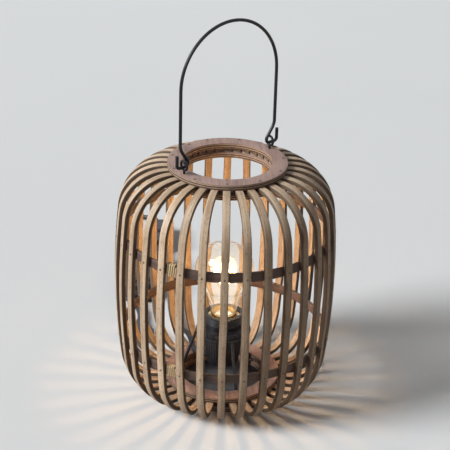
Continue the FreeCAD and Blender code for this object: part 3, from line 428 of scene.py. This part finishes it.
for pair in range(cage["slats"] // cage["perNode"]):
    grids, uvs, tones = zip(*[slatGrid(pair * cage["perNode"] + k) for k in range(cage["perNode"])])
    piece = gridMesh("slatPair%02d" % (pair + 1), grids, uvs, tones)
    finishPiece(piece, slatMaterial, "slat_wood", "slat_pair_%02d" % (pair + 1))
print("slats made")


# Plywood rings and hoops, turned from rounded outlines

def lathe(name, outline, steps, tones=None):
    # an outline of (radius, z) points carried round the lamp's axis
    angles = np.linspace(0, 2 * math.pi, steps, endpoint=False)
    radius = outline[None, :, 0]
    grid = np.stack([radius * np.cos(angles)[:, None], radius * np.sin(angles)[:, None],
                     np.broadcast_to(outline[None, :, 1], (steps, len(outline)))], axis=-1) * mm
    around = outlineLength(outline)
    along = np.linspace(0, 2 * math.pi * outline[:, 0].max(), steps + 1)
    value = None if tones is None else [np.broadcast_to(tones[None, :], (steps, len(outline)))]
    return gridMesh(name, [grid], [(around, along)], value, closedRows=True)


plyLook = {"pale": (0.44, 0.285, 0.23, 1), "dark": (0.21, 0.125, 0.10, 1), "streaks": 1.0,
           "specks": 0.7, "knots": 0.0, "bump": 0.25, "grainTurn": math.radians(35)}
plyEdge = {"layers": 5.0, "pale": (0.44, 0.30, 0.20, 1), "dark": (0.07, 0.04, 0.03, 1),
           "stretch": (0.25, 0.25, 2.5), "detail": 3.0, "uneven": 0.9, "darkFrom": (0.25, 0.5),
           "facing": (0.4, 0.7)}
plyMaterial, tree, bsdf, group = woodMaterial(
    "plywoodRing", plyLook, lambda woodTree: objectVector(woodTree, plyLook["grainTurn"]))
# the rings' edges show the plies: bands of the height through the sheet, made uneven by noise
layer = add(tree, "ShaderNodeAttribute", attribute_name="tone")
plies = calc(tree, "PINGPONG", calc(tree, "MULTIPLY", layer.outputs["Fac"], plyEdge["layers"]), 1.0)
edgeVector = stretched(tree, objectVector(tree), plyEdge["stretch"])
edgeNoise = calc(tree, "SUBTRACT", noise(tree, edgeVector, 1.0, plyEdge["detail"]), 0.5)
plies = calc(tree, "ADD", plies, calc(tree, "MULTIPLY", edgeNoise, plyEdge["uneven"]), clamp=True)
edgeMask = remap(tree, plies, *plyEdge["darkFrom"])
edgeColour = mixColour(tree, edgeMask, plyEdge["pale"], plyEdge["dark"])
normal = add(tree, "ShaderNodeNewGeometry")
split = add(tree, "ShaderNodeSeparateXYZ")
tree.links.new(normal.outputs["Normal"], split.inputs["Vector"])
facing = remap(tree, calc(tree, "ABSOLUTE", split.outputs["Z"]), *plyEdge["facing"])
plyColour = mixColour(tree, facing, edgeColour, group.outputs["Color"])
tree.links.new(plyColour, bsdf.inputs["Base Color"])

rings = {"edge": 0.55, "steps": 160, "feet": {
    "upperTop": ("top_ring_upper", 244.5), "lowerTop": ("top_ring_lower", 234.5),
    "upperBottom": ("bottom_ring_upper", 10.0), "lowerBottom": ("bottom_ring_lower", 0.0)}}
for label, (node, low) in rings["feet"].items():
    high = low + cage["ply"]
    outline = roundedBox((cage["ringBore"], low), (cage["ringOuter"], high), rings["edge"])
    tones = (outline[:, 1] - low) / cage["ply"]
    piece = lathe(label + "Ring", outline, rings["steps"], tones)
    finishPiece(piece, plyMaterial, "plywood", node)

hoopLook = {"pale": (0.155, 0.088, 0.06, 1), "dark": (0.045, 0.027, 0.021, 1), "streaks": 1.0,
            "specks": 0.8, "knots": 0.3, "bump": 0.25}
hoopMaterial = woodMaterial("hoopWood", hoopLook, uvVector)[0]
hoops = {"high": 9.5, "thick": 2.5, "upper": 176.5, "lower": 66.2, "edge": 0.5, "steps": 192,
         "gap": 0.02}
sideStart = 2 + cage["rows"][0]
sideFace = slatFace[sideStart:sideStart + cage["rows"][1]]


def slatInnerRadius(z):
    # radius of the slats' inner face on their long side, by its outer line
    order = np.argsort(sideFace[:, 1])
    return np.interp(z, sideFace[order, 1], sideFace[order, 0]) - cage["thick"]


for label in ("upper", "lower"):
    z = hoops[label]
    low, high = z - hoops["high"] / 2, z + hoops["high"] / 2
    outline = roundedBox((-hoops["thick"], low), (0.0, high), hoops["edge"])
    lean = (slatInnerRadius(high) - slatInnerRadius(low)) / hoops["high"]
    outline[:, 0] += slatInnerRadius(low) + (outline[:, 1] - low) * lean - hoops["gap"]
    piece = lathe(label + "Hoop", outline, hoops["steps"])
    finishPiece(piece, hoopMaterial, "hoop_wood", label + "_hoop")
print("rings and hoops made")


# Cane lashings: one flattened strand wound round each hoop's overlapped ends

caneLook = {"pale": (0.72, 0.55, 0.33, 1), "dark": (0.42, 0.28, 0.14, 1), "streaks": 0.7,
            "specks": 0.4, "knots": 0.0, "bump": 0.25}
caneMaterial = woodMaterial("caneStrand", caneLook, uvVector)[0]
lash = {"azimuth": 202.5, "pitch": 2.25, "turns": 4.5, "strand": 1.7, "drop": 0.35, "gap": 0.02,
        "flat": 0.82, "rows": 420, "sides": 12}


def lashingPiece(label):
    # a racetrack round the hoop's section: up the outer face, a half circle over the top, down the
    # inner face and a half circle under, while it steps aside steadily
    z = hoops[label]
    reach = hoops["high"] / 2 - lash["drop"]
    bend = lash["gap"] + lash["strand"] / 2 + hoops["thick"] / 2
    turnLong = 4 * reach + 2 * math.pi * bend
    gone = np.linspace(0, lash["turns"] * turnLong - math.pi * bend, lash["rows"])
    inTurn = np.mod(gone, turnLong)
    upEnd, overEnd = 2 * reach, 2 * reach + math.pi * bend
    downEnd = 4 * reach + math.pi * bend
    over, under = (inTurn - upEnd) / bend, (inTurn - downEnd) / bend
    stretches = [inTurn < upEnd, inTurn < overEnd, inTurn < downEnd]
    depth = np.select(stretches, [bend, bend * np.cos(over), -bend], -bend * np.cos(under))
    rises = [inTurn - reach, reach + bend * np.sin(over), reach - (inTurn - overEnd)]
    rise = np.select(stretches, rises, -reach - bend * np.sin(under))
    face = slatInnerRadius(z + np.clip(rise, -reach, reach))
    radius = face - hoops["thick"] / 2 + depth
    aside = lash["pitch"] * (gone / turnLong - lash["turns"] / 2)
    theta = math.radians(lash["azimuth"]) + aside / face
    path = np.stack([radius * np.cos(theta), radius * np.sin(theta), z + rise], axis=1)
    ring = np.linspace(0, 2 * math.pi, lash["sides"], endpoint=False)
    section = lash["strand"] / 2 * np.stack([lash["flat"] * np.cos(ring), np.sin(ring)], axis=1)
    across = np.stack([-np.sin(theta), np.cos(theta), np.zeros_like(theta)], axis=1)
    grid = sweep(path, section[None], across) * mm
    uv = (np.linspace(0, math.pi * lash["strand"], lash["sides"] + 1), pathLength(path))
    finishPiece(gridMesh(label + "HoopLashing", [grid], [uv]), caneMaterial, "cane",
                label + "_hoop_lashing")


lashingPiece("upper")
lashingPiece("lower")
print("lashings made")


# Materials of the pieces that keep their built shape

# name: base and worn colour, lowest and highest roughness, then what differs from the usual
finishes = {
    "drawnWire": ((0.012, 0.012, 0.014), (0.035, 0.035, 0.04), 0.28, 0.48,
                  {"metallic": 0.4, "wear": 0.5, "bump": 0.08}),
    "nailSteel": ((0.16, 0.13, 0.11), (0.26, 0.2, 0.15), 0.35, 0.6, {"metallic": 0.8, "wear": 0.6}),
    "screwSteel": ((0.5, 0.5, 0.52), (0.38, 0.38, 0.4), 0.25, 0.45, {"metallic": 1.0}),
    "blackPaint": ((0.013, 0.014, 0.018), (0.03, 0.031, 0.037), 0.32, 0.5,
                   {"wear": 0.4, "bump": 0.1, "coat": 0.15}),
    "holderPlastic": ((0.011, 0.012, 0.016), (0.024, 0.025, 0.03), 0.3, 0.46, {"bump": 0.06}),
    "whiteInsulator": ((0.78, 0.77, 0.73), (0.66, 0.64, 0.6), 0.4, 0.55, {}),
    "brassCap": ((0.80, 0.60, 0.28), (0.62, 0.42, 0.18), 0.2, 0.38, {"metallic": 1.0, "wear": 0.5}),
    "solderTip": ((0.62, 0.62, 0.64), (0.5, 0.5, 0.52), 0.3, 0.5, {"metallic": 1.0}),
    "blackGlass": ((0.015, 0.015, 0.018), (0.03, 0.03, 0.035), 0.1, 0.2, {}),
    # the cord's sheath and the cord's cases are black with a slight blue tint, a painted reflection
    # of the bluish ambient light
    "cordSheath": ((0.012, 0.015, 0.023), (0.026, 0.031, 0.042), 0.42, 0.6,
                   {"wear": 0.5, "grain": 1500.0, "bump": 0.12}),
    "cordCase": ((0.013, 0.017, 0.026), (0.026, 0.031, 0.042), 0.3, 0.48, {"bump": 0.08}),
    "plugPins": ((0.72, 0.70, 0.66), (0.6, 0.56, 0.5), 0.15, 0.3, {"metallic": 1.0}),
}
made = {name: finished(name, *look, **others) for name, (*look, others) in finishes.items()}

# clear glass with a painted glow towards the filament: glowReach is where the glow ends and is full
glass = {"rough": 0.02, "bending": 1.45, "glowAt": (0, 0, 0.118), "glowReach": (0.046, 0.012),
         "glowColour": (1.0, 0.62, 0.25, 1), "noGlow": (0.0, 0.0, 0.0, 1),
         "tints": {"clearGlass": (1.0, 0.985, 0.95, 1), "stemGlass": (1.0, 0.97, 0.9, 1)},
         "glows": {"clearGlass": 0.12, "stemGlass": 0.5}}


def glassMaterial(name):
    material, tree, bsdf = newMaterial(name)
    bsdf.inputs["Base Color"].default_value = glass["tints"][name]
    bsdf.inputs["Roughness"].default_value = glass["rough"]
    bsdf.inputs["Transmission Weight"].default_value = 1.0
    bsdf.inputs["IOR"].default_value = glass["bending"]
    coords = add(tree, "ShaderNodeTexCoord")
    away = add(tree, "ShaderNodeVectorMath", operation="DISTANCE")
    tree.links.new(coords.outputs["Object"], away.inputs[0])
    away.inputs[1].default_value = glass["glowAt"]
    # painted glow on the glass and stem, strongest near the filament
    warm = remap(tree, away.outputs["Value"], *glass["glowReach"])
    paintedGlowColour = mixColour(tree, warm, glass["noGlow"], glass["glowColour"])
    tree.links.new(paintedGlowColour, bsdf.inputs["Emission Color"])
    bsdf.inputs["Emission Strength"].default_value = glass["glows"][name]
    return material


for name in glass["tints"]:
    made[name] = glassMaterial(name)

filament = {"coils": 900.0, "pale": (1.0, 0.86, 0.6, 1), "deep": (1.0, 0.72, 0.36, 1), "glow": 45.0}
made["litFilament"], tree, bsdf = newMaterial("litFilament")
coords = add(tree, "ShaderNodeTexCoord")
coil = add(tree, "ShaderNodeTexWave", {"Scale": filament["coils"]})
tree.links.new(coords.outputs["Object"], coil.inputs["Vector"])
glowing = mixColour(tree, coil.outputs["Fac"], filament["deep"], filament["pale"])
tree.links.new(glowing, bsdf.inputs["Emission Color"])
bsdf.inputs["Emission Strength"].default_value = filament["glow"]

kept = {
    "drawnWire": ["bail", "screw_eyes"], "nailSteel": ["ring_nails", "hoop_nails"],
    "screwSteel": ["base_plate_screws", "switch_screws", "bulb_leads"],
    "blackPaint": ["base_plate", "stand_leg_1", "stand_leg_2", "stand_leg_3", "stand_collar"],
    "holderPlastic": ["holder_body", "holder_sleeve", "shade_ring"],
    "whiteInsulator": ["holder_insert"], "blackGlass": ["bulb_insulator"],
    "brassCap": ["contact_sleeve", "centre_contact", "bulb_cap"], "solderTip": ["bulb_tip"],
    "clearGlass": ["bulb_glass"], "stemGlass": ["bulb_stem"], "litFilament": ["bulb_filament"],
    "cordSheath": ["cord_relief", "hank_tie"], "plugPins": ["plug_pins"],
    "cordCase": ["switch_lower_shell", "switch_upper_shell", "switch_rocker", "plug_body"],
}
for name, nodes in kept.items():
    for node in nodes:
        for slot in bpy.data.objects[node].material_slots:
            slot.material = made[name]
# the glass lets the filament's light out without a shadow
bpy.data.objects["bulb_glass"].visible_shadow = False
bpy.data.objects["bulb_stem"].visible_shadow = False
print("finishes set:", len(kept))


# Cord

# wide is in metres, the routes in millimetres
cord = {"wide": 0.0052, "sides": 5, "smooth": 6, "order": 3,
        "lampRoute": [
            (-5.5, 40.5, 21.5), (1.0, 53.5, 20.8), (8.5, 66.5, 19.6), (16.5, 82.5, 15.2),
            (22.0, 95.5, 8.6), (29.5, 109.0, 3.6), (39.0, 124.5, 2.7), (54.0, 147.0, 2.7),
            (75.5, 177.5, 2.7), (93.0, 203.0, 2.7), (102.5, 221.0, 2.7), (107.5, 240.5, 4.6),
            (110.5, 256.5, 8.2), (117.1, 266.4, 9.0)],
        "turnRoute": [
            (158.9, 329.8, 9.0), (165.5, 340.0, 7.6), (166.1, 352.5, 5.0), (161.0, 364.0, 3.2),
            (150.5, 370.5, 2.7), (138.5, 370.75, 2.7), (127.0, 365.5, 2.7), (114.5, 349.5, 2.7),
            (98.0, 320.5, 2.7), (82.5, 296.0, 2.7), (70.0, 277.5, 3.2)],
        "tailRoute": [
            (10.0, 204.5, 19.6), (7.5, 187.5, 15.0), (12.0, 173.5, 10.6), (8.5, 157.0, 7.4),
            (-1.4, 144.7, 6.85)]}
hank = {"fold": 15.6, "waist": 30.0, "half": 27.0, "step": 5.68, "pitch": 5.7, "loops": 5,
        "turnsBack": (1, 2, 3), "arcsToNearFold": 4, "arcsToRightWaist": 8, "firstZ": 3.55,
        "place": (60.1, 226.2), "azimuth": -39.4, "end": 5.2}


def hankPoints():
    # the hank's loops, drawn in at the waist: arcs whose radius grows or shrinks with the distance
    # gone since the spiral last turned back, and which climb a layer at the right waist
    # a fold and a waist touch at this turn, whose sine is half over the sum of their radii
    turn = math.asin(hank["half"] / (hank["fold"] + hank["waist"]))
    waistX = (hank["fold"] + hank["waist"]) * math.cos(turn)
    far, near, left, right = (0, hank["half"]), (0, -hank["half"]), (-waistX, 0), (waistX, 0)
    fold, waist, half = hank["fold"], hank["waist"], math.pi
    # one loop as (centre, radius, growth, start angle, turn), with the points that each arc gets
    arcs = [(far, fold, 1, half, turn, 2), (left, waist, -1, turn, -turn, 2),
            (left, waist, -1, 0, -turn, 2), (near, fold, 1, half - turn, turn, 2),
            (near, fold, 1, half, half / 2, 4), (near, fold, 1, 1.5 * half, half / 2, 4),
            (near, fold, 1, 0, turn, 2), (right, waist, -1, half + turn, -turn, 2),
            (right, waist, -1, half, -turn, 2), (far, fold, 1, -turn, turn, 2),
            (far, fold, 1, 0, half / 2, 4), (far, fold, 1, half / 2, half / 2, 4)]
    steps = arcs * hank["loops"] + arcs[:hank["arcsToNearFold"]]
    lengths = np.array([radius * abs(swing) for _, radius, _, _, swing, _ in steps])
    loopLong = lengths[:len(arcs)].sum()
    reached = np.concatenate([[0.0], np.cumsum(lengths / loopLong)])
    turnsAt = [reached[loops * len(arcs) + hank["arcsToRightWaist"]] for loops in hank["turnsBack"]]
    climbHalf = waist * turn / loopLong
    points = []
    for step, (centre, radius, growth, start, swing, count) in enumerate(steps):
        for share in np.arange(count) / count + 0.5 / count:
            at = reached[step] + share * (reached[step + 1] - reached[step])
            spread = hank["step"] * min(abs(at - turnsAt[0]), abs(at - turnsAt[2]))
            level = sum(np.clip((at - t + climbHalf) / (2 * climbHalf), 0, 1) for t in turnsAt)
            # the spline's points stand a little outside its line
            out = 1 + swing * swing / (count * count * 8)
            reach = (radius + growth * spread) * out
            angle = start + share * swing
            points.append((centre[0] + reach * math.cos(angle), centre[1] + reach * math.sin(angle),
                           hank["firstZ"] + hank["pitch"] * level))
    topZ = hank["firstZ"] + hank["pitch"] * len(turnsAt)
    entry = (points[0][0], hank["half"] + hank["end"], hank["firstZ"])
    leave = (points[-1][0], -hank["half"] - hank["end"], topZ)
    local = np.array([entry] + points + [leave])
    angle = math.radians(hank["azimuth"])
    x = hank["place"][0] + local[:, 0] * math.cos(angle) - local[:, 1] * math.sin(angle)
    y = hank["place"][1] + local[:, 0] * math.sin(angle) + local[:, 1] * math.cos(angle)
    return [tuple(p) for p in np.stack([x, y, local[:, 2]], axis=1)]


def splineLength(piece):
    # the last distance along the curve's own line, taken without its tube
    bevel = piece.data.bevel_depth
    piece.data.bevel_depth = 0
    mesh = bpy.data.meshes.new_from_object(piece)
    piece.data.bevel_depth = bevel
    points = np.empty(len(mesh.vertices) * 3)
    mesh.vertices.foreach_get("co", points)
    bpy.data.meshes.remove(mesh)
    return float(pathLength(points.reshape(-1, 3))[-1])


def cordPiece(name, route, nodes):
    # one spline through given points in millimetres, from the end that leaves a housing
    curve = bpy.data.curves.new(name, "CURVE")
    curve.dimensions = "3D"
    # the points carry the tube's radius, so the object's bounds are the tube's
    curve.bevel_depth = 1.0
    curve.bevel_resolution = cord["sides"]
    curve.resolution_u = cord["smooth"]
    curve.use_fill_caps = True
    spline = curve.splines.new("NURBS")
    spline.points.add(len(route) - 1)
    for point, (x, y, z) in zip(spline.points, route):
        point.co = (x * mm, y * mm, z * mm, 1)
        point.radius = cord["wide"] / 2
    spline.order_u = cord["order"]
    spline.use_endpoint_u = True
    piece = bpy.data.objects.new(name, curve)
    bpy.context.scene.collection.objects.link(piece)
    finishPiece(piece, made["cordSheath"], "cord_sheath", *nodes)
    length = round(splineLength(piece), 3)
    print(name, "length", length)


cordPiece("lampCord", cord["lampRoute"], ["cord_lamp_to_switch"])
spareRoute = cord["turnRoute"] + hankPoints() + cord["tailRoute"]
cordPiece("spareCord", spareRoute, ["cord_switch_to_hank", "cord_hank", "cord_hank_to_plug"])
print("cord made")


# Floor, light and camera

stage = {"floor": 16.0, "floorRough": 0.7, "floorColour": (0.70, 0.69, 0.68, 1),
         "mottleColour": (0.5, 0.49, 0.48, 1), "mottleScale": 3.0, "mottleDetail": 4.0,
         "mottleRange": (0.3, 0.7), "mottleMost": 0.06, "bounceColour": (0.16, 0.13, 0.11, 1),
         "worldColour": (0.93, 0.96, 1.0, 1), "worldLight": 0.09, "worldSeen": 0.85}
floorMaterial, tree, bsdf = newMaterial("paleFloor")
bsdf.inputs["Roughness"].default_value = stage["floorRough"]
coords = add(tree, "ShaderNodeTexCoord")
mottle = noise(tree, coords.outputs["Object"], stage["mottleScale"], stage["mottleDetail"])
mottle = remap(tree, mottle, *stage["mottleRange"], 0.0, stage["mottleMost"])
floorSeen = mixColour(tree, mottle, stage["floorColour"], stage["mottleColour"])
# the floor throws back less light than it shows, so the slats' shaded sides stay dark
floorColour = mixColour(tree, seenDirectly(tree), stage["bounceColour"], floorSeen)
tree.links.new(floorColour, bsdf.inputs["Base Color"])
bpy.ops.mesh.primitive_plane_add(size=stage["floor"])
floor = bpy.context.object
floor.name = "floor"
floor.data.materials.append(floorMaterial)

world = bpy.data.worlds.new("softWorld")
bpy.context.scene.world = world
world.use_nodes = True
background = world.node_tree.nodes["Background"]
level = remap(world.node_tree, seenDirectly(world.node_tree), 0.0, 1.0, stage["worldLight"],
              stage["worldSeen"])
world.node_tree.links.new(level, background.inputs["Strength"])
background.inputs["Color"].default_value = stage["worldColour"]

# turn is how far the photo looks to the right of +Y, down how far below level, both in degrees;
# focal, picture and centreX are in pixels
view = {"turn": 39.375, "away": 1.2901, "high": 0.8078, "down": 25.915, "roll": 1.514,
        "focal": 1451.8, "picture": 450.0, "centreX": 226.03, "sensor": 36.0, "nearest": 0.05}
viewTurn = math.radians(view["turn"])
lookAcross = Vector((math.cos(viewTurn), -math.sin(viewTurn), 0))
lookAway = Vector((math.sin(viewTurn), math.cos(viewTurn), 0))


def fromView(x, y, z):
    # a place given from the camera: across to the right, away from it, and up
    return lookAcross * x + lookAway * y + Vector((0, 0, z))


# where is across, away and up from the camera's side, and size a disk's width or a sun's angle
lights = {
    "leftLight": {"kind": "SUN", "where": (-1.5, -0.45, 1.2), "size": 0.4, "power": 4.7,
                  "colour": (0.93, 0.97, 1.0)},
    "backLight": {"kind": "AREA", "where": (-0.6, 1.9, 1.7), "size": 1.6, "power": 4,
                  "colour": (0.95, 0.98, 1.0)},
    "frontFill": {"kind": "AREA", "where": (0.9, -2.0, 1.4), "size": 1.8, "power": 0.8,
                  "colour": (1.0, 0.97, 0.93)},
}
lampMiddle = Vector((0, 0, 0.15))


def aimedLight(name, kind, where, size, power, colour):
    light = bpy.data.lights.new(name, kind)
    light.energy = power
    light.color = colour
    if kind == "SUN":
        light.angle = size
    else:
        light.shape = "DISK"
        light.size = size
    piece = bpy.data.objects.new(name, light)
    bpy.context.scene.collection.objects.link(piece)
    place = fromView(*where)
    turned = (lampMiddle - place).to_track_quat("-Z", "Y").to_matrix().to_4x4()
    piece.matrix_world = Matrix.Translation(place) @ turned


for name, settings in lights.items():
    aimedLight(name, **settings)
bulbGlow = {"power": 0.36, "colour": (1.0, 0.60, 0.26), "radius": 0.012, "place": (0, 0, 0.127)}
glow = bpy.data.lights.new("bulbGlow", "POINT")
glow.energy = bulbGlow["power"]
glow.color = bulbGlow["colour"]
glow.shadow_soft_size = bulbGlow["radius"]
glowPiece = bpy.data.objects.new("bulbGlow", glow)
glowPiece.location = bulbGlow["place"]
bpy.context.scene.collection.objects.link(glowPiece)
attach(glowPiece, "bulb")

camera = bpy.data.cameras.new("photoView")
camera.sensor_width = view["sensor"]
camera.lens = view["focal"] / view["picture"] * view["sensor"]
camera.shift_x = (view["picture"] / 2 - view["centreX"]) / view["picture"]
camera.clip_start = view["nearest"]
cameraPiece = bpy.data.objects.new("photoView", camera)
bpy.context.scene.collection.objects.link(cameraPiece)
down, roll = math.radians(view["down"]), math.radians(view["roll"])
forward = lookAway * math.cos(down) - Vector((0, 0, math.sin(down)))
upward = lookAway * math.sin(down) + Vector((0, 0, math.cos(down)))
rightRolled = lookAcross * math.cos(roll) + upward * math.sin(roll)
upRolled = upward * math.cos(roll) - lookAcross * math.sin(roll)
turnMatrix = Matrix((rightRolled, upRolled, -forward)).transposed().to_4x4()
cameraPlace = fromView(0, -view["away"], view["high"])
cameraPiece.matrix_world = Matrix.Translation(cameraPlace) @ turnMatrix
bpy.context.scene.camera = cameraPiece
bpy.context.scene.view_settings.view_transform = "Standard"
print("stage, light and camera set")

bpy.context.view_layer.update()
